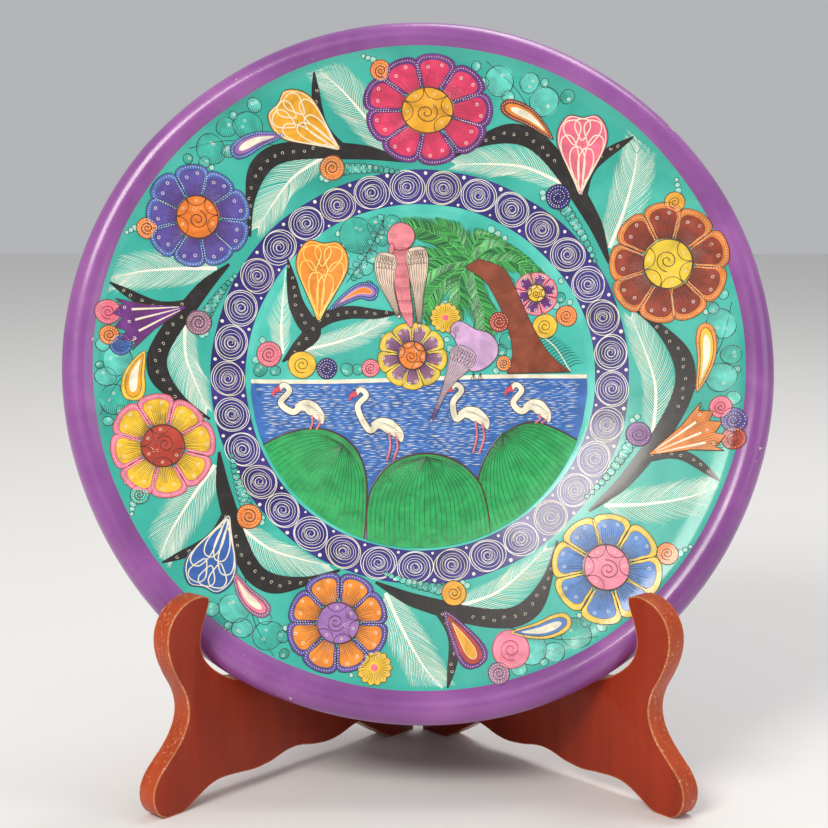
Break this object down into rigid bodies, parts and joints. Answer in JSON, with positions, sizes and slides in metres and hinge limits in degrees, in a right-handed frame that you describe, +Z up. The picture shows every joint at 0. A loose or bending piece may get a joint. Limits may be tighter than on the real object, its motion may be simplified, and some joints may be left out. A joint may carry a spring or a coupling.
{
  "type": "painted plate on folding stand",
  "caption": "Shallow round painted clay plate with a rolled rim, leaning on a hinged two-leaf wooden display stand with notched front hooks.",
  "frame": {"origin": "centre of the object's plan bounding box, at table level", "axes": "+Z up; the viewer stands at -Y and sees the plate's painted face; +X to the viewer's right"},
  "size_m": [0.32, 0.1252, 0.3407],
  "materials": {
    "painted_clay": "hand painted, clear gloss varnish",
    "lacquered_wood": "red-brown lacquer, worn arrises",
    "hinge_brass": "satin",
    "screw_brass": "satin"
  },
  "bodies": {
    "left_leaf": {"left_board": "lacquered_wood", "hinge_lower_left": "hinge_brass", "hinge_upper_left": "hinge_brass", "pin_lower": "hinge_brass", "pin_upper": "hinge_brass", "screws_left": "screw_brass"},
    "right_leaf": {"right_board": "lacquered_wood", "hinge_lower_right": "hinge_brass", "hinge_upper_right": "hinge_brass", "screws_right": "screw_brass"},
    "plate": {"plate": "painted_clay"}
  },
  "joints": [
    {"name": "plate_lift", "type": "slide", "parent": "left_leaf", "child": "plate", "axis": [0, 0.1045, 0.9945], "range_m": [0, 0.42]},
    {"name": "fold", "type": "hinge", "parent": "left_leaf", "child": "right_leaf", "pos_m": [0, 0.05774, 0], "axis": [0, 0, -1], "range_deg": [0, 85]}
  ],
  "couplings": [
    {"joint": "fold", "follows": "plate_lift", "rad_per_m": 3.53}
  ]
}
